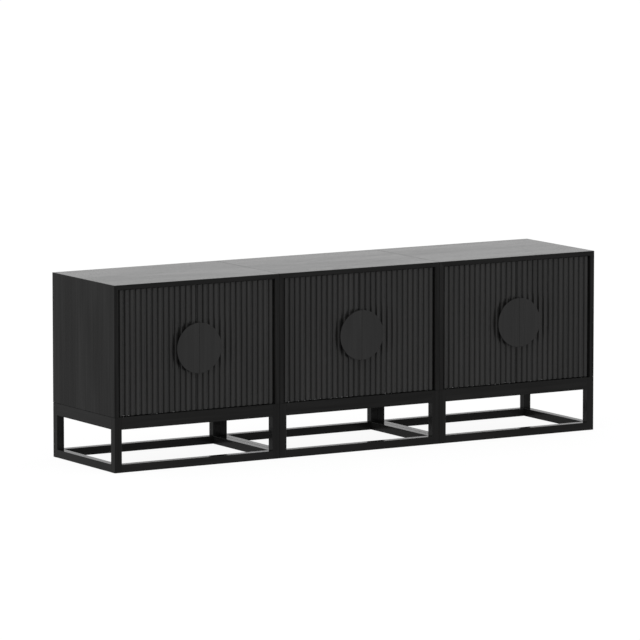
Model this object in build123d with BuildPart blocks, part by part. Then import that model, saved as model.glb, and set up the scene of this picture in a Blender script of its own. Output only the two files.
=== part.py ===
"""Three-cabinet sideboard with ribbed inset doors, half-disc handles and an open base.

Three equal two-door cabinets stand side by side and are bolted together. Each one has
a mitred case of 18 mm board, an adjustable shelf, two doors that turn on pivot pins,
and an open frame of 30 mm stock under it.

Frame: millimetres, +X to the right, +Y to the back, +Z up. The origin is on the floor,
midway between the ends and midway between the handle fronts and the cabinet backs.
"""
import os

from build123d import *

# ---------------------------------------------------------------- driving dimensions
units = ["a", "b", "c"]          # cabinets from left to right
cabinet_pitch = 708.0
seam = 1.0                       # between neighbouring cabinets
cabinet_width = cabinet_pitch - seam
cabinet_depth = 476.0            # case and base, without the handles
overall_height = 700.0
board = 18.0                     # case panels and shelf
arris = 0.6                      # eased outer edges

stock = 30.0                     # square base members
apron_height = 46.5              # upper base rails
base_height = 208.0
shadow_height = 1.0              # rebate round the top of the base
shadow_depth = 2.5
glide_proud = 1.0                # glides lift the base off the floor
glide_recess = 3.0
glide_radius = 9.0

back_board = 6.0                 # back panel, let into rabbets
rabbet_ledge = 10.0

side_gap = 2.5                   # between a door and the side panel
centre_gap = 2.0                 # between the two doors
top_gap = 2.0
bottom_gap = 3.0
rib_setback = 6.0                # rib faces behind the case front
rib_depth = 7.0
rib_face = 9.0                   # flat top of a rib
rib_root = 19.0                  # rib width at the foot of its sloping flanks
rib_count = 14
door_thickness = 19.0
bottom_setback = 30.0            # the doors cover the bottom panel's front edge

handle_radius = 95.0
handle_thickness = 20.0
handle_seam = 1.0                # between the two half-discs
handle_rim = 3.0                 # full-radius edge in front of the undercut
handle_undercut = 12.0

pivot_inset = 10.0               # pivot axis from the door's outer edge
pivot_setback = 16.0             # pivot axis behind the case front
pin_radius = 3.0
pin_length = 17.0
running_clearance = 0.08
bore_depth = 16.0
plate_thickness = 2.0            # plates are let in flush
collar_play = 0.2                # between a collar and the door
collar_radius = 5.0

fit = 0.05                       # radial clearance of screws and dowels in their holes
screw_radius = 1.75              # small countersunk wood screws
screw_head_radius = 3.5
screw_length = 14.0
recess_length = 3.2              # cross recess in a screw head
recess_width = 0.7
recess_depth = 0.9
handle_screw_radius = 2.0
handle_screw_reach = 10.0        # into the handle
pan_head_radius = 4.0
pan_head_height = 2.5
frame_screw_radius = 2.5         # long screws that hold the case on its base
frame_screw_length = 50.0
frame_screw_head = 5.0
frame_screw_inset = 60.0
counterbore_depth = 20.0
dowel_radius = 3.0
dowel_length = 30.0
dowel_in_cross_piece = 11.0      # the rest of the dowel is in the rail or panel's end

shelf_bottom = 440.0
shelf_side_gap = 1.5
shelf_pin_radius = 2.5
shelf_pin_length = 18.0
shelf_pin_depth = 9.0
shelf_hole_pitch = 32.0
shelf_hole_steps = range(-3, 4)
shelf_hole_setbacks = [80.0, 410.0]

connector_radius = 3.0
connector_length = 30.0
sleeve_radius = 4.0
connector_head_radius = 7.0
connector_head_height = 1.6
hexagon_radius = 2.3             # key recess in a connector head
hexagon_depth = 1.2
connector_setbacks = [45.0, 440.0]
connector_heights = [290.0, 620.0]

catch_width = 40.0
catch_height = 16.0
catch_depth = 16.0
catch_flange = 11.0
catch_flange_thickness = 3.0
strike_width = 15.0
strike_height = 13.0
strike_thickness = 1.2
strike_stem_radius = 2.5
strike_stem_length = 8.0
catch_gap = 0.3

# ---------------------------------------------------------------- derived dimensions
front_y = -(cabinet_depth - handle_thickness + rib_setback) / 2
back_y = front_y + cabinet_depth
rib_y = front_y + rib_setback
groove_y = rib_y + rib_depth
door_back_y = rib_y + door_thickness
handle_y = rib_y - handle_thickness
bottom_y = front_y + bottom_setback

half_width = cabinet_width / 2
inner_x = half_width - board                      # inside face of a side panel
leg_x = half_width - stock / 2
leg_ys = [front_y + stock / 2, back_y - stock / 2]
rail_end_x = half_width - stock
rail_end_ys = [front_y + stock, back_y - stock]

under_top = overall_height - board
bottom_top = base_height + board
rail_floors = [glide_proud, base_height - apron_height]
rail_heights = [stock, apron_height]
rail_middles = [floor + height / 2 for floor, height in zip(rail_floors, rail_heights)]

door_floor = base_height + bottom_gap
door_height = under_top - top_gap - door_floor
door_width = inner_x - side_gap - centre_gap / 2
door_x = (centre_gap + door_width) / 2            # door's middle, from the centre line
rib_pitch = door_width / rib_count
pivot_x = inner_x - side_gap - pivot_inset
pivot_y = front_y + pivot_setback
handle_z = door_floor + door_height / 2

plate_near, plate_far = -9.0, 31.0                # along the door, from the pivot
plate_middle = (plate_near + plate_far) / 2
plate_length = plate_far - plate_near
plate_width = 20.0
plate_screw_offsets = [13.0, 24.0]
handle_screw_x = centre_gap / 2 + 1.5 * rib_pitch  # middle of the second rib
handle_screw_heights = [handle_z - 45.0, handle_z + 45.0]
strike_x = centre_gap / 2 + rib_pitch / 2
strike_z = door_floor + door_height - strike_height / 2 - 1.0
catch_y = door_back_y + strike_thickness + catch_gap
catch_screw_x = (catch_width + catch_flange) / 2
catch_screw_y = catch_y + catch_depth / 2
shelf_front_y = front_y + 36.0
shelf_back_y = back_y - back_board - 4.0
panel_dowel_ys = [front_y + 120.0, front_y + 253.0, front_y + 386.0]
back_screw_xs = [-290.0, 0.0, 290.0]
back_screw_zs = [290.0, 454.0, 618.0]
ledge = rabbet_ledge / 2                          # back screws run in the ledge's middle

sides = [-1, 1]                                   # left, right
up, down, forward = (0, 0, 1), (0, 0, -1), (0, -1, 0)
from_base = (Align.CENTER, Align.CENTER, Align.MIN)
from_top = (Align.CENTER, Align.CENTER, Align.MAX)
case_front = Plane(origin=(0, front_y, 0), x_dir=(1, 0, 0), z_dir=forward)

os.makedirs("parts", exist_ok=True)


def centre_of(unit):
    """X of a cabinet's centre line."""
    return (units.index(unit) - (len(units) - 1) / 2) * cabinet_pitch


def finish(builder, name):
    """Label a finished piece and write its STEP file."""
    builder.part.label = name
    export_step(builder.part, f"parts/{name}.step")


def along_x(x, y, z, side=1):
    """Plane at a point whose normal points along X, to the right for side 1."""
    return Plane(origin=(x, y, z), x_dir=(0, 1, 0), z_dir=(side, 0, 0))


def plate_pockets(cx, level):
    """Middles of the pockets for a cabinet's two pivot plates, low or high."""
    return [(cx + side * (pivot_x - plate_middle), pivot_y, level) for side in sides]


def side_rebates(cx):
    """Middles of the rebates under the side panels, at the top of a base."""
    return [(cx + side * (half_width - shadow_depth / 2), (front_y + back_y) / 2,
             base_height - shadow_height / 2) for side in sides]


def long_rebates(cx):
    """Middles of the rebates along the front and the back, at the top of a base."""
    return [(cx, y, base_height - shadow_height / 2)
            for y in [front_y + shadow_depth / 2, back_y - shadow_depth / 2]]


# ---------------------------------------------------------------- where the fasteners go
def top_screws(cx):
    """Small screws that go up into a top panel: pivot plates, then the catch."""
    spots = [
        Plane(origin=(cx + side * (pivot_x - offset), pivot_y, under_top), z_dir=up)
        for side in sides
        for offset in plate_screw_offsets
    ]
    flange_level = under_top - catch_flange_thickness
    for side in sides:
        spots.append(Plane(origin=(cx + side * catch_screw_x, catch_screw_y, flange_level), z_dir=up))
    return spots


def rail_screws(cx):
    """Small screws that go down into a front upper rail: pivot plates."""
    return [
        Plane(origin=(cx + side * (pivot_x - offset), pivot_y, base_height), z_dir=down)
        for side in sides
        for offset in plate_screw_offsets
    ]


def back_screws(cx):
    """Small screws that hold a back panel, driven forwards into the rabbets."""
    spots = []
    for x in back_screw_xs:
        for z in [bottom_top - ledge, under_top + ledge]:
            spots.append(Plane(origin=(cx + x, back_y, z), z_dir=forward))
    for side in sides:
        for z in back_screw_zs:
            spots.append(Plane(origin=(cx + side * (inner_x + ledge), back_y, z), z_dir=forward))
    return spots


def frame_screws(cx):
    """Long screws that go up through the side rails into the side panels."""
    level = rail_floors[1] + counterbore_depth
    return [
        Plane(origin=(cx + side * (half_width - board / 2), y, level), z_dir=up)
        for side in sides
        for y in [front_y + frame_screw_inset, back_y - frame_screw_inset]
    ]


def rail_dowels_x(cx):
    """Dowels between the legs and the long rails, with their normals towards the centre."""
    return [
        along_x(cx + side * (rail_end_x + dowel_in_cross_piece), y, z, -side)
        for side in sides
        for y in leg_ys
        for z in rail_middles
    ]


def rail_dowels_y(cx):
    """Dowels between the legs and the side rails, with their normals towards the middle."""
    starts = [(rail_end_ys[0] - dowel_in_cross_piece, 1), (rail_end_ys[1] + dowel_in_cross_piece, -1)]
    return [
        Plane(origin=(cx + side * leg_x, y, z), z_dir=(0, inward, 0))
        for side in sides
        for y, inward in starts
        for z in rail_middles
    ]


def panel_dowels(cx):
    """Dowels between the side panels and the ends of the bottom panel."""
    level = base_height + board / 2
    return [
        along_x(cx + side * (inner_x + dowel_in_cross_piece), y, level, -side)
        for side in sides
        for y in panel_dowel_ys
    ]


def shelf_pin_spots(cx, side, steps):
    """Shelf pin positions on one side panel, with normals into the panel."""
    return [
        along_x(cx + side * inner_x, front_y + setback, shelf_bottom - shelf_pin_radius
                + step * shelf_hole_pitch, side)
        for setback in shelf_hole_setbacks
        for step in steps
    ]


def connector_spots(cx, side):
    """Connector positions on the inside face of one side panel, with normals outwards."""
    return [
        along_x(cx + side * inner_x, front_y + setback, height, side)
        for setback in connector_setbacks
        for height in connector_heights
    ]


# ---------------------------------------------------------------- case panels
def top_panel(cx):
    """Top, mitred to both side panels, with a rabbet for the back panel."""
    with BuildPart() as panel:
        with BuildSketch(case_front):
            with BuildLine():
                Polyline(
                    (cx - inner_x, under_top),
                    (cx - half_width + arris / 2, overall_height - arris / 2),
                    (cx - half_width + arris, overall_height),
                    (cx + half_width - arris, overall_height),
                    (cx + half_width - arris / 2, overall_height - arris / 2),
                    (cx + inner_x, under_top),
                    close=True,
                )
            make_face()
        extrude(amount=-cabinet_depth)
        chamfer(panel.edges().filter_by(Axis.X).group_by(Axis.Y)[0], arris)
        rabbet_width = 2 * (inner_x + rabbet_ledge)
        with Locations((cx, back_y - back_board / 2, under_top + rabbet_ledge / 2)):
            Box(rabbet_width, back_board, rabbet_ledge, mode=Mode.SUBTRACT)
        with Locations(*plate_pockets(cx, under_top + plate_thickness / 2)):
            Box(plate_length, plate_width, plate_thickness, mode=Mode.SUBTRACT)
        with Locations(*top_screws(cx), *back_screws(cx)):
            Cylinder(screw_radius + fit, screw_length + fit, align=from_base, mode=Mode.SUBTRACT)
    return panel


def side_panel(cx, side, joined):
    """Side, mitred to the top, with shelf pin holes and, where cabinets meet, bolt holes."""
    outer = cx + side * half_width
    inner = cx + side * inner_x
    with BuildPart() as panel:
        with BuildSketch(case_front):
            with BuildLine():
                Polyline(
                    (outer - side * arris, base_height),
                    (outer, base_height + arris),
                    (outer, overall_height - arris),
                    (outer - side * arris / 2, overall_height - arris / 2),
                    (inner, under_top),
                    (inner, base_height),
                    close=True,
                )
            make_face()
        extrude(amount=-cabinet_depth)
        chamfer(panel.edges().filter_by(Axis.Z).group_by(Axis.Y)[0], arris)
        rabbet_height = under_top + rabbet_ledge - base_height
        with Locations((inner + side * rabbet_ledge / 2, back_y - back_board / 2,
                        bottom_top - rabbet_ledge + rabbet_height / 2)):
            Box(rabbet_ledge, back_board, rabbet_height, mode=Mode.SUBTRACT)
        with Locations(*back_screws(cx)):
            Cylinder(screw_radius + fit, screw_length + fit, align=from_base, mode=Mode.SUBTRACT)
        with Locations(*shelf_pin_spots(cx, side, shelf_hole_steps)):
            Cylinder(shelf_pin_radius + fit, shelf_pin_depth + fit, align=from_base, mode=Mode.SUBTRACT)
        with Locations(*panel_dowels(cx)):
            Cylinder(dowel_radius + fit, dowel_length, align=from_base, mode=Mode.SUBTRACT)
        with Locations(*frame_screws(cx)):
            Cylinder(frame_screw_radius + fit, frame_screw_length + fit, align=from_base, mode=Mode.SUBTRACT)
        if joined:
            with Locations(*connector_spots(cx, side)):
                Cylinder(sleeve_radius + fit, board, align=from_base, mode=Mode.SUBTRACT)
    return panel


def bottom_panel(cx):
    """Bottom, between the side panels, with a rabbet for the back panel."""
    with BuildPart() as panel:
        with Locations((cx, (bottom_y + back_y) / 2, base_height + board / 2)):
            Box(2 * inner_x, back_y - bottom_y, board)
        with Locations((cx, back_y - back_board / 2, bottom_top - rabbet_ledge / 2)):
            Box(2 * inner_x, back_board, rabbet_ledge, mode=Mode.SUBTRACT)
        with Locations(*back_screws(cx)):
            Cylinder(screw_radius + fit, screw_length + fit, align=from_base, mode=Mode.SUBTRACT)
        with Locations(*panel_dowels(cx)):
            Cylinder(dowel_radius + fit, dowel_length + fit, align=from_base, mode=Mode.SUBTRACT)
    return panel


def back_panel(cx):
    """Thin back, let into the rabbets, with countersunk screw holes."""
    play = 0.25
    floor = bottom_top - rabbet_ledge
    height = under_top + rabbet_ledge - floor
    with BuildPart() as panel:
        with Locations((cx, back_y - back_board / 2, floor + height / 2)):
            Box(2 * (inner_x + rabbet_ledge - play), back_board, height - 2 * play)
        with Locations(*back_screws(cx)):
            Cylinder(screw_radius + fit, screw_length, align=from_base, mode=Mode.SUBTRACT)
            Cone(screw_head_radius + fit, screw_radius, screw_head_radius + fit - screw_radius,
                 align=from_base, mode=Mode.SUBTRACT)
    return panel


def shelf(cx):
    """Loose shelf on four pins."""
    width = 2 * (inner_x - shelf_side_gap)
    with BuildPart() as board_piece:
        with Locations((cx, (shelf_front_y + shelf_back_y) / 2, shelf_bottom + board / 2)):
            Box(width, shelf_back_y - shelf_front_y, board)
        chamfer(board_piece.edges().filter_by(Axis.X).group_by(Axis.Y)[0], arris)
    return board_piece


# ---------------------------------------------------------------- base
def base_legs(cx):
    """Four square legs with recesses for the glides."""
    height = base_height - glide_proud
    with BuildPart() as legs:
        with Locations(*[(cx + side * leg_x, y, glide_proud + height / 2) for side in sides for y in leg_ys]):
            Box(stock, stock, height)
        chamfer(legs.edges().filter_by(Axis.Z), arris)
        with Locations(*side_rebates(cx)):
            Box(shadow_depth, cabinet_depth, shadow_height, mode=Mode.SUBTRACT)
        with Locations(*long_rebates(cx)):
            Box(cabinet_width, shadow_depth, shadow_height, mode=Mode.SUBTRACT)
        with Locations(*plate_pockets(cx, base_height - plate_thickness / 2)):
            Box(plate_length, plate_width, plate_thickness, mode=Mode.SUBTRACT)
        with Locations(*[(cx + side * leg_x, y, glide_proud) for side in sides for y in leg_ys]):
            Cylinder(glide_radius + fit, glide_recess, align=from_base, mode=Mode.SUBTRACT)
        with Locations(*rail_dowels_x(cx), *rail_dowels_y(cx)):
            Cylinder(dowel_radius + fit, dowel_length, align=from_base, mode=Mode.SUBTRACT)
    return legs


def base_long_rails(cx):
    """Front and back rails, low and high, between the legs."""
    with BuildPart() as rails:
        for floor, height in zip(rail_floors, rail_heights):
            with Locations(*[(cx, y, floor + height / 2) for y in leg_ys]):
                Box(2 * rail_end_x, stock, height)
        chamfer(rails.edges().filter_by(Axis.X), arris)
        with Locations(*long_rebates(cx)):
            Box(cabinet_width, shadow_depth, shadow_height, mode=Mode.SUBTRACT)
        with Locations(*plate_pockets(cx, base_height - plate_thickness / 2)):
            Box(plate_length, plate_width, plate_thickness, mode=Mode.SUBTRACT)
        with Locations(*rail_dowels_x(cx)):
            Cylinder(dowel_radius + fit, dowel_length + fit, align=from_base, mode=Mode.SUBTRACT)
        with Locations(*rail_screws(cx)):
            Cylinder(screw_radius + fit, screw_length + fit, align=from_base, mode=Mode.SUBTRACT)
    return rails


def base_side_rails(cx):
    """Side rails, low and high, between the legs."""
    middle_y = (front_y + back_y) / 2
    with BuildPart() as rails:
        for floor, height in zip(rail_floors, rail_heights):
            with Locations(*[(cx + side * leg_x, middle_y, floor + height / 2) for side in sides]):
                Box(stock, rail_end_ys[1] - rail_end_ys[0], height)
        chamfer(rails.edges().filter_by(Axis.Y), arris)
        with Locations(*side_rebates(cx)):
            Box(shadow_depth, cabinet_depth, shadow_height, mode=Mode.SUBTRACT)
        with Locations(*rail_dowels_y(cx)):
            Cylinder(dowel_radius + fit, dowel_length + fit, align=from_base, mode=Mode.SUBTRACT)
        with Locations(*frame_screws(cx)):
            Cylinder(frame_screw_radius + fit, frame_screw_length, align=from_base, mode=Mode.SUBTRACT)
            Cylinder(frame_screw_head + fit, counterbore_depth, align=from_top, mode=Mode.SUBTRACT)
    return rails


# ---------------------------------------------------------------- doors
def door(cx, side):
    """Door with a row of upright tapered ribs on its face and pivot bores in its ends."""
    middle_x = cx + side * door_x
    with BuildPart() as leaf:
        with BuildSketch(Plane.XY.offset(door_floor)):
            with Locations((middle_x, (groove_y + door_back_y) / 2)):
                Rectangle(door_width, door_back_y - groove_y)
            with Locations((middle_x, groove_y)):
                with GridLocations(rib_pitch, 0, rib_count, 1):
                    Polygon(
                        (-rib_root / 2, 0),
                        (-rib_face / 2, -rib_depth),
                        (rib_face / 2, -rib_depth),
                        (rib_root / 2, 0),
                        align=None,
                    )
        extrude(amount=door_height)
        chamfer(leaf.edges().filter_by(Axis.Z).group_by(Axis.Y)[0], arris)
        with Locations((cx + side * pivot_x, pivot_y, door_floor)):
            Cylinder(pin_radius + running_clearance, bore_depth, align=from_base, mode=Mode.SUBTRACT)
        with Locations((cx + side * pivot_x, pivot_y, door_floor + door_height - bore_depth)):
            Cylinder(pin_radius + running_clearance, bore_depth, align=from_base, mode=Mode.SUBTRACT)
        with Locations(*handle_screw_spots(cx, side)):
            Cylinder(handle_screw_radius + fit, door_thickness, align=from_base, mode=Mode.SUBTRACT)
        with Locations(strike_spot(cx, side)):
            Cylinder(strike_stem_radius + fit, strike_stem_length + fit, align=from_base, mode=Mode.SUBTRACT)
    return leaf


def handle_screw_spots(cx, side):
    """Handle screw positions on the door's back, with normals forwards."""
    return [Plane(origin=(cx + side * handle_screw_x, door_back_y, z), z_dir=forward)
            for z in handle_screw_heights]


def strike_spot(cx, side):
    """Strike plate position on the door's back, with its normal forwards."""
    return Plane(origin=(cx + side * strike_x, door_back_y, strike_z), x_dir=(1, 0, 0), z_dir=forward)


def handle(cx, side):
    """Half of a disc, undercut behind its rim so that fingers can hook round it."""
    with BuildPart() as half:
        with BuildSketch(Plane.XY.offset(handle_z)):
            with BuildLine():
                Polyline(
                    (cx, handle_y),
                    (cx + handle_radius, handle_y),
                    (cx + handle_radius, handle_y + handle_rim),
                    (cx + handle_radius - handle_undercut, rib_y),
                    (cx, rib_y),
                    close=True,
                )
            make_face()
        revolve(axis=Axis((cx, 0, handle_z), (0, 1, 0)))
        fillet(half.edges().filter_by(GeomType.CIRCLE).group_by(Axis.Y)[0], 2 * arris)
        split(bisect_by=Plane(origin=(cx + side * handle_seam / 2, 0, 0), z_dir=(side, 0, 0)), keep=Keep.TOP)
        with Locations(*handle_screw_spots(cx, side)):
            Cylinder(handle_screw_radius + fit, door_thickness + handle_screw_reach + 1.0,
                     align=from_base, mode=Mode.SUBTRACT)
    return half


def handle_screws(cx, side):
    """Two pan-head screws from the door's back into the handle."""
    with BuildPart() as screws:
        with Locations(*handle_screw_spots(cx, side)):
            Cylinder(handle_screw_radius, door_thickness + handle_screw_reach, align=from_base)
            Cylinder(pan_head_radius, pan_head_height, align=from_top)
        with Locations(*[spot.offset(-pan_head_height) for spot in handle_screw_spots(cx, side)]):
            Box(recess_length, recess_width, recess_depth, align=from_base, mode=Mode.SUBTRACT)
            Box(recess_width, recess_length, recess_depth, align=from_base, mode=Mode.SUBTRACT)
    return screws


def strike_plate(cx, side):
    """Steel plate on a stem pressed into the door's back."""
    with BuildPart() as plate:
        with Locations(strike_spot(cx, side)):
            Box(strike_width, strike_height, strike_thickness, align=from_top)
            Cylinder(strike_stem_radius, strike_stem_length, align=from_base)
    return plate


for unit in units:
    cx = centre_of(unit)
    finish(top_panel(cx), f"top_panel_{unit}")
    finish(side_panel(cx, -1, unit != units[0]), f"left_side_panel_{unit}")
    finish(side_panel(cx, 1, unit != units[-1]), f"right_side_panel_{unit}")
    finish(bottom_panel(cx), f"bottom_panel_{unit}")
    finish(back_panel(cx), f"back_panel_{unit}")
    finish(shelf(cx), f"shelf_{unit}")
    finish(base_legs(cx), f"base_legs_{unit}")
    finish(base_long_rails(cx), f"base_long_rails_{unit}")
    finish(base_side_rails(cx), f"base_side_rails_{unit}")
    for side, side_name in zip(sides, ["left", "right"]):
        finish(door(cx, side), f"door_{unit}_{side_name}")
        finish(handle(cx, side), f"handle_{unit}_{side_name}")
        finish(handle_screws(cx, side), f"handle_screws_{unit}_{side_name}")
        finish(strike_plate(cx, side), f"strike_plate_{unit}_{side_name}")

# ---------------------------------------------------------------- shared hardware
centres = [centre_of(unit) for unit in units]

# Pivot plates: a plate let in flush, a collar that carries the door, and the pin.
with BuildPart() as pivot_plates:
    for level, direction, gap in [
        (base_height - plate_thickness, up, bottom_gap),
        (under_top + plate_thickness, down, top_gap),
    ]:
        plate_spots = [
            Plane(origin=(cx + side * pivot_x, pivot_y, level), x_dir=(-side, 0, 0), z_dir=direction)
            for cx in centres
            for side in sides
        ]
        with Locations(*plate_spots):
            with Locations((plate_middle, 0, 0)):
                Box(plate_length, plate_width, plate_thickness, align=from_base)
            Cylinder(collar_radius, plate_thickness + gap - collar_play, align=from_base)
            Cylinder(pin_radius, pin_length, align=from_base)
            with Locations(*[(offset, 0, 0) for offset in plate_screw_offsets]):
                Cone(screw_radius + fit, screw_head_radius + 2 * fit, plate_thickness,
                     align=from_base, mode=Mode.SUBTRACT)
finish(pivot_plates, "pivot_plates")

# Small countersunk screws: pivot plates, catches and back panels.
with BuildPart() as wood_screws:
    screw_spots = []
    for cx in centres:
        screw_spots += top_screws(cx) + rail_screws(cx) + back_screws(cx)
    with Locations(*screw_spots):
        Cylinder(screw_radius, screw_length, align=from_base)
        Cone(screw_head_radius, screw_radius, screw_head_radius - screw_radius, align=from_base)
        Box(recess_length, recess_width, recess_depth, align=from_base, mode=Mode.SUBTRACT)
        Box(recess_width, recess_length, recess_depth, align=from_base, mode=Mode.SUBTRACT)
finish(wood_screws, "wood_screws")

# Shelf pins: a peg in the side panel, a thin collar and the stub under the shelf.
with BuildPart() as shelf_pins:
    pin_spots = []
    for cx in centres:
        for side in sides:
            pin_spots += shelf_pin_spots(cx, side, [0])
    with Locations(*pin_spots):
        with Locations((0, 0, shelf_pin_depth)):
            Cylinder(shelf_pin_radius, shelf_pin_length, align=from_top)
        Cylinder(shelf_pin_radius + 1.0, 1.0, align=from_top)
finish(shelf_pins, "shelf_pins")

# Glides set into the feet of the legs.
with BuildPart() as glides:
    with Locations(*[(cx + side * leg_x, y, 0) for cx in centres for side in sides for y in leg_ys]):
        Cylinder(glide_radius, glide_proud + glide_recess, align=from_base)
    chamfer(glides.edges().filter_by(GeomType.CIRCLE).group_by(Axis.Z)[0], glide_proud / 2)
finish(glides, "glides")

# Magnetic catches under the tops, one for each pair of doors.
with BuildPart() as magnetic_catches:
    flange_y = catch_depth - 2 * arris
    for cx in centres:
        with Locations((cx, catch_y + catch_depth / 2, under_top - catch_height / 2)):
            Box(catch_width, catch_depth, catch_height)
        with Locations((cx, catch_screw_y, under_top - catch_flange_thickness / 2)):
            Box(catch_width + 2 * catch_flange, flange_y, catch_flange_thickness)
        with Locations(*top_screws(cx)[-2:]):
            Cylinder(screw_radius + fit, catch_flange_thickness, align=from_base, mode=Mode.SUBTRACT)
            Cone(screw_head_radius + fit, screw_radius, screw_head_radius + fit - screw_radius,
                 align=from_base, mode=Mode.SUBTRACT)
finish(magnetic_catches, "magnetic_catches")

# Bolts and sleeves that hold neighbouring cabinets together, mirrored about the middle one.
seam_spots = []
for outer_unit, side in [(units[0], 1), (units[-1], -1)]:
    seam_spots += connector_spots(centre_of(outer_unit), side)
with BuildPart() as connector_bolts:
    with Locations(*seam_spots):
        Cylinder(connector_radius, connector_length, align=from_base)
        Cylinder(connector_head_radius, connector_head_height, align=from_top)
    with BuildSketch(*[spot.offset(-connector_head_height) for spot in seam_spots]):
        RegularPolygon(hexagon_radius, 6)
    extrude(amount=hexagon_depth, mode=Mode.SUBTRACT)
finish(connector_bolts, "connector_bolts")

with BuildPart() as connector_sleeves:
    for side in sides:
        with Locations(*connector_spots(centre_of(units[1]), side)):
            Cylinder(sleeve_radius, connector_length, align=from_base)
            Cylinder(connector_head_radius, connector_head_height, align=from_top)
            Cylinder(connector_radius + fit, connector_length, align=from_base, mode=Mode.SUBTRACT)
finish(connector_sleeves, "connector_sleeves")

# Long screws that hold each case on its base.
with BuildPart() as base_fixing_screws:
    with Locations(*[spot for cx in centres for spot in frame_screws(cx)]):
        Cylinder(frame_screw_radius, frame_screw_length, align=from_base)
        Cylinder(frame_screw_head, frame_screw_radius, align=from_top)
finish(base_fixing_screws, "base_fixing_screws")

# Dowels in the base frames and between the bottom and side panels.
with BuildPart() as dowels:
    dowel_spots = []
    for cx in centres:
        dowel_spots += rail_dowels_x(cx) + rail_dowels_y(cx) + panel_dowels(cx)
    with Locations(*dowel_spots):
        Cylinder(dowel_radius, dowel_length, align=from_base)
finish(dowels, "dowels")
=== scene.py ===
"""Looks for the three-cabinet sideboard: black-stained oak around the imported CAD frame."""

import math

import bpy
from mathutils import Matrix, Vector

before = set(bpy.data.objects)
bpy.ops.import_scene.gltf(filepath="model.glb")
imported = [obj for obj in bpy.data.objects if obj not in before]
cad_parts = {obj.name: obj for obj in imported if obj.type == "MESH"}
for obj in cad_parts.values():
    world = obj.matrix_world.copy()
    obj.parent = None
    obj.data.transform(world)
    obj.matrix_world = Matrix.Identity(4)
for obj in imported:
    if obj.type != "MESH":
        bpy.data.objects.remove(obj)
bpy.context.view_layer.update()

# ---------------------------------------------------------------- camera
VIEW_AZIMUTH = math.radians(31.08)      # seen from the left front
VIEW_ELEVATION = math.radians(7.42)
VIEW_DISTANCE = 21.855                  # to the point that the camera looks at
AIM = Vector((-0.1769, -0.2310, 0.5133))
LENS_MM = 326.85
SENSOR_MM = 36.0

# ---------------------------------------------------------------- light and floor
SKY = 1.0                               # radiance of the studio, down to just under the horizon
BELOW = 0.35                            # and straight down, where the object shades the floor
BELOW_AT, SKY_AT = -0.65, -0.12         # heights of those two in the unit direction
FLOOR_GLOW = 0.93
FLOOR_WHITE = 0.09
FLOOR_SIZE = 60.0

# ---------------------------------------------------------------- textures
# Grain runs along one of these axes.
X, Y, Z = 0, 1, 2

# Pattern frequencies per metre, across the grain and along it.
CLOUDS = (9.0, 1.3)
BANDS = (85.0, 2.2)
FIBRES = (620.0, 14.0)
PORES = (1500.0, 55.0)
BEECH_FIBRES = (700.0, 20.0)
BEECH_FLECKS = (900.0, 160.0)

# Each piece's pattern is moved on by its seed times these.
WOOD_STEPS = (3.17, 1.93, 2.41)
ZINC_STEPS = (2.3, 1.1, 0.7)
PLASTIC_STEPS = (1.3, 0.9, 1.7)
BEECH_STEPS = (1.9, 2.7, 0.8)

MIDDLE = (0.3, 0.7)                     # most noise values lie between these

# Edges, in metres
WORN_WIDTH = 0.0012                     # lacquer rubbed off wood edges
WOOD_ROUNDING = 0.0007
METAL_ROUNDING = 0.0002
PLASTIC_ROUNDING = 0.0003
BEVEL_SAMPLES = 4
FLAT, SHARP = 0.995, 0.9                # agreement of the rounded and true normals

# Depth of the surface relief, in metres
PORE_DEPTH = 0.00018
SCRATCH_DEPTH = 0.00005
SPARK_DEPTH = 0.00006
BEECH_DEPTH = 0.0001


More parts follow.
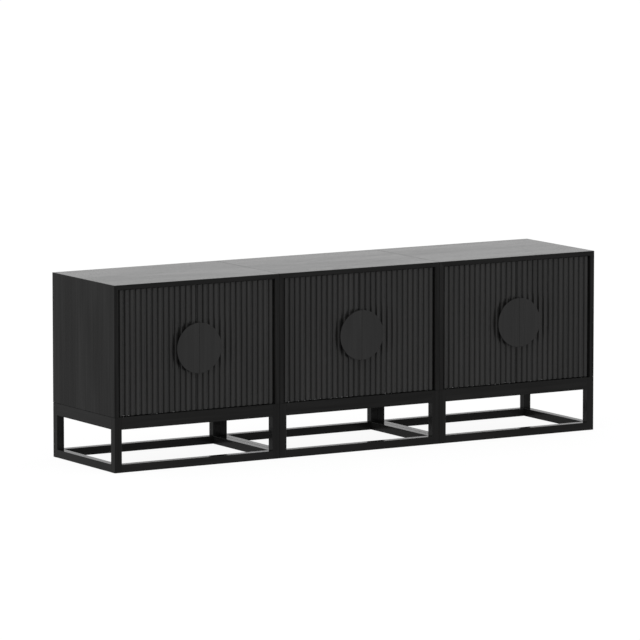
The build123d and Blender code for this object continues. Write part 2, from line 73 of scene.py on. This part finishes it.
class Tree:
    """A material's node tree with short calls for what the materials below share."""

    def __init__(self, name):
        self.material = bpy.data.materials.new(name)
        self.material.use_nodes = True
        self.tree = self.material.node_tree
        self.shader = self.tree.nodes["Principled BSDF"]
        self.place = self.node("ShaderNodeTexCoord").outputs["Object"]

    def node(self, kind, **settings):
        made = self.tree.nodes.new(kind)
        for key, value in settings.items():
            setattr(made, key, value)
        return made

    def link(self, source, target):
        self.tree.links.new(source, target)

    def put(self, socket, value):
        """Links an output to a socket, or sets its plain value."""
        if isinstance(value, bpy.types.NodeSocket):
            self.link(value, socket)
        else:
            socket.default_value = value

    def math(self, operation, a, b=0.0, clamp=False):
        made = self.node("ShaderNodeMath", operation=operation, use_clamp=clamp)
        self.put(made.inputs[0], a)
        self.put(made.inputs[1], b)
        return made.outputs[0]

    def stretch(self, value, low, high, to_low=0.0, to_high=1.0):
        """Maps low..high to to_low..to_high, smoothly and clamped."""
        made = self.node("ShaderNodeMapRange", interpolation_type="SMOOTHSTEP")
        for name, number in zip(("Value", "From Min", "From Max", "To Min", "To Max"),
                                (value, low, high, to_low, to_high)):
            self.put(made.inputs[name], number)
        return made.outputs[0]

    def mapped(self, scale, offset):
        """Object coordinates, scaled and then shifted."""
        made = self.node("ShaderNodeMapping")
        made.inputs["Scale"].default_value = scale
        made.inputs["Location"].default_value = offset
        self.link(self.place, made.inputs["Vector"])
        return made.outputs[0]

    def noise(self, vector, detail=2.0, roughness=0.5, distortion=0.0):
        made = self.node("ShaderNodeTexNoise")
        self.link(vector, made.inputs["Vector"])
        made.inputs["Scale"].default_value = 1.0
        made.inputs["Detail"].default_value = detail
        made.inputs["Roughness"].default_value = roughness
        made.inputs["Distortion"].default_value = distortion
        return made.outputs["Fac"]

    def mix(self, factor, a, b):
        """Two colours mixed by a factor."""
        made = self.node("ShaderNodeMix", data_type="RGBA")
        self.put(made.inputs["Factor"], factor)
        self.put(made.inputs[6], a)
        self.put(made.inputs[7], b)
        return made.outputs[2]

    def edge(self, radius):
        """1 on outer edges within the radius, 0 on flat stretches."""
        rounded = self.node("ShaderNodeBevel", samples=BEVEL_SAMPLES)
        rounded.inputs["Radius"].default_value = radius
        flat = self.node("ShaderNodeNewGeometry")
        product = self.node("ShaderNodeVectorMath", operation="DOT_PRODUCT")
        self.link(rounded.outputs[0], product.inputs[0])
        self.link(flat.outputs["True Normal"], product.inputs[1])
        return self.stretch(product.outputs["Value"], FLAT, SHARP)

    def bump(self, height, strength, distance, radius=0.0):
        """Surface relief from a height, on edges softened by a small radius."""
        made = self.node("ShaderNodeBump")
        made.inputs["Strength"].default_value = strength
        made.inputs["Distance"].default_value = distance
        self.link(height, made.inputs["Height"])
        if radius:
            rounded = self.node("ShaderNodeBevel", samples=BEVEL_SAMPLES)
            rounded.inputs["Radius"].default_value = radius
            self.link(rounded.outputs[0], made.inputs["Normal"])
        self.link(made.outputs[0], self.shader.inputs["Normal"])


def grain_scale(axis, frequencies):
    across, along = frequencies
    return tuple(along if i == axis else across for i in range(3))


def moved_on(seed, steps):
    """Pattern offset that makes each piece's texture its own."""
    return tuple(seed * step for step in steps)


def rgba(level, warmth=0.0):
    """Near-neutral colour: warmth lifts red and lowers blue by that share."""
    return (level * (1 + warmth), level, level * (1 - warmth), 1.0)


def stained_wood(name, axis, seed, level, specular, roughness, relief=1.0, contrast=0.15):
    """Oak under black stain and satin lacquer: figure, open pores, relief and rubbed edges."""
    t = Tree(name)
    offset = moved_on(seed, WOOD_STEPS)
    broad = t.noise(t.mapped(grain_scale(axis, CLOUDS), offset), detail=3.0, distortion=0.6)
    bands = t.noise(t.mapped(grain_scale(axis, BANDS), offset), detail=4.0, roughness=0.6,
                    distortion=0.35)
    fibres = t.noise(t.mapped(grain_scale(axis, FIBRES), offset), detail=3.0, roughness=0.65)
    pore_noise = t.noise(t.mapped(grain_scale(axis, PORES), offset))
    figure = t.stretch(bands, 0.32, 0.68)
    pores = t.stretch(pore_noise, 0.58, 0.70)
    early_wood = t.stretch(bands, 0.40, 0.66, 0.25, 1.0)
    pores = t.math("MULTIPLY", pores, early_wood)
    cloud = t.stretch(broad, *MIDDLE, 1 - contrast, 1 + contrast)

    tone = t.mix(figure, rgba(level * (1 - contrast), 0.01), rgba(level * (1 + contrast), 0.01))
    tone = t.mix(t.math("MULTIPLY", pores, 0.65), tone, rgba(level * 0.30))
    edge = t.edge(WORN_WIDTH)
    rubbed = t.math("MULTIPLY", edge, t.stretch(fibres, 0.35, 0.65, 0.15, 0.6))
    tone = t.mix(rubbed, tone, rgba(level * 2.2, 0.03))
    shade = t.node("ShaderNodeHueSaturation")
    t.link(tone, shade.inputs["Color"])
    t.link(cloud, shade.inputs["Value"])
    t.link(shade.outputs[0], t.shader.inputs["Base Color"])

    rough = t.math("ADD", t.stretch(fibres, *MIDDLE, roughness - 0.05, roughness + 0.06),
                   t.math("MULTIPLY", pores, 0.18))
    rough = t.math("ADD", rough, t.stretch(broad, *MIDDLE, -0.03, 0.03), clamp=True)
    t.link(rough, t.shader.inputs["Roughness"])
    height = t.math("SUBTRACT", t.math("MULTIPLY", fibres, 0.35), pores)
    t.bump(height, 0.55 * relief, PORE_DEPTH, radius=WOOD_ROUNDING)
    t.shader.inputs["Specular IOR Level"].default_value = specular
    return t.material


def zinc(name, seed, shade=1.0):
    """Zinc plate with fine scratches and dull patches, darkened by a low shade."""
    t = Tree(name)
    offset = moved_on(seed, ZINC_STEPS)
    patches = t.noise(t.mapped((160.0,) * 3, offset), detail=4.0, roughness=0.6)
    scratches = t.noise(t.mapped((2600.0, 2600.0, 180.0), offset), detail=2.0)
    tone = t.mix(t.stretch(patches, 0.35, 0.65), rgba(0.53 * shade, -0.02), rgba(0.66 * shade, -0.01))
    t.link(tone, t.shader.inputs["Base Color"])
    t.shader.inputs["Metallic"].default_value = 1.0
    t.link(t.math("ADD", t.stretch(patches, *MIDDLE, 0.24, 0.4),
                  t.stretch(scratches, 0.5, 0.7, 0.0, 0.12)), t.shader.inputs["Roughness"])
    t.bump(scratches, 0.15, SCRATCH_DEPTH, radius=METAL_ROUNDING)
    return t.material


def moulded(name, seed, level):
    """Matt moulded plastic with a fine spark-eroded texture."""
    t = Tree(name)
    offset = moved_on(seed, PLASTIC_STEPS)
    grain = t.noise(t.mapped((2400.0,) * 3, offset), detail=3.0, roughness=0.6)
    patches = t.noise(t.mapped((90.0,) * 3, offset), detail=3.0)
    t.link(t.mix(t.stretch(patches, *MIDDLE), rgba(level * 0.9), rgba(level * 1.12)),
           t.shader.inputs["Base Color"])
    t.link(t.stretch(grain, *MIDDLE, 0.48, 0.62), t.shader.inputs["Roughness"])
    t.bump(grain, 0.3, SPARK_DEPTH, radius=PLASTIC_ROUNDING)
    return t.material


def beech(name, axis, seed):
    """Pale turned beech with short flecks."""
    t = Tree(name)
    offset = moved_on(seed, BEECH_STEPS)
    fibres = t.noise(t.mapped(grain_scale(axis, BEECH_FIBRES), offset), detail=3.0)
    flecks = t.stretch(t.noise(t.mapped(grain_scale(axis, BEECH_FLECKS), offset)), 0.6, 0.72)
    tone = t.mix(t.stretch(fibres, *MIDDLE), (0.50, 0.34, 0.21, 1), (0.66, 0.48, 0.32, 1))
    tone = t.mix(t.math("MULTIPLY", flecks, 0.5), tone, (0.36, 0.22, 0.13, 1))
    t.link(tone, t.shader.inputs["Base Color"])
    t.link(t.stretch(fibres, *MIDDLE, 0.5, 0.66), t.shader.inputs["Roughness"])
    t.bump(fibres, 0.3, BEECH_DEPTH)
    return t.material


# ---------------------------------------------------------------- which finish each node has
CASE = dict(level=0.0126, specular=0.047, roughness=0.14, relief=0.5)
TOP = dict(CASE, roughness=0.145, relief=0.3)
SIDE = dict(CASE, contrast=0.28)
DOOR = dict(level=0.0178, specular=0.235, roughness=0.22, relief=0.5)
HANDLE = dict(level=0.013, specular=0.235, roughness=0.22, relief=0.5)
INSIDE = dict(level=0.012, specular=0.16, roughness=0.42)

WOODEN = {                               # name starts with: (grain axis, finish)
    "top_panel": (X, TOP),
    "left_side_panel": (Z, SIDE),
    "right_side_panel": (Z, SIDE),
    "bottom_panel": (X, INSIDE),
    "back_panel": (X, INSIDE),
    "shelf": (X, INSIDE),
    "base_legs": (Z, CASE),
    "base_long_rails": (X, CASE),
    "base_side_rails": (Y, CASE),
    "door": (Z, DOOR),
    "handle_a": (Z, HANDLE),
    "handle_b": (Z, HANDLE),
    "handle_c": (Z, HANDLE),
}


def finish_for(node, seed):
    name = f"{node}_finish"
    for start, (axis, finish) in WOODEN.items():
        if node.startswith(start):
            return stained_wood(name, axis, seed, **finish)
    if node == "dowels":
        return beech(name, X, seed)
    if node in ("glides", "magnetic_catches"):
        return moulded(name, seed, 0.03)
    if node == "pivot_plates":
        return zinc(name, seed, shade=0.05)
    return zinc(name, seed)


for seed, (node, piece) in enumerate(sorted(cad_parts.items())):
    piece.data.materials.clear()
    piece.data.materials.append(finish_for(node, seed))


# ---------------------------------------------------------------- studio
def make_floor():
    """White floor that glows a little, so that its shadows stay faint."""
    bpy.ops.mesh.primitive_plane_add(size=FLOOR_SIZE)
    floor = bpy.context.object
    floor.name = "floor"
    t = Tree("floor_white")
    t.shader.inputs["Base Color"].default_value = (FLOOR_WHITE,) * 3 + (1,)
    t.shader.inputs["Roughness"].default_value = 1.0
    t.shader.inputs["Specular IOR Level"].default_value = 0.0
    t.shader.inputs["Emission Color"].default_value = (1, 1, 1, 1)
    t.shader.inputs["Emission Strength"].default_value = FLOOR_GLOW
    floor.data.materials.append(t.material)
    floor.visible_diffuse = False
    floor.visible_glossy = False


def make_world():
    """White studio: plain white behind the object, and soft light from all round."""
    world = bpy.data.worlds.new("studio")
    bpy.context.scene.world = world
    world.use_nodes = True
    nodes, links = world.node_tree.nodes, world.node_tree.links
    background = nodes["Background"]
    direction = nodes.new("ShaderNodeTexCoord")
    parts = nodes.new("ShaderNodeSeparateXYZ")
    links.new(direction.outputs["Generated"], parts.inputs[0])
    horizon = nodes.new("ShaderNodeMapRange")
    for name, number in (("From Min", BELOW_AT), ("From Max", SKY_AT), ("To Min", BELOW), ("To Max", SKY)):
        horizon.inputs[name].default_value = number
    links.new(parts.outputs["Z"], horizon.inputs["Value"])
    path = nodes.new("ShaderNodeLightPath")
    seen = nodes.new("ShaderNodeMath")
    seen.operation = "MAXIMUM"
    links.new(path.outputs["Is Camera Ray"], seen.inputs[0])
    links.new(horizon.outputs[0], seen.inputs[1])
    links.new(seen.outputs[0], background.inputs["Strength"])
    background.inputs["Color"].default_value = (1, 1, 1, 1)


def make_camera():
    data = bpy.data.cameras.new("camera")
    data.lens = LENS_MM
    data.sensor_width = SENSOR_MM
    data.clip_start = 1.0
    data.clip_end = 200.0
    camera = bpy.data.objects.new("camera", data)
    bpy.context.scene.collection.objects.link(camera)
    towards = Vector((math.sin(VIEW_AZIMUTH) * math.cos(VIEW_ELEVATION),
                      math.cos(VIEW_AZIMUTH) * math.cos(VIEW_ELEVATION),
                      -math.sin(VIEW_ELEVATION)))
    camera.location = AIM - towards * VIEW_DISTANCE
    camera.rotation_euler = towards.to_track_quat("-Z", "Y").to_euler()
    bpy.context.scene.camera = camera


make_floor()
make_world()
make_camera()
bpy.context.scene.view_settings.view_transform = "Standard"
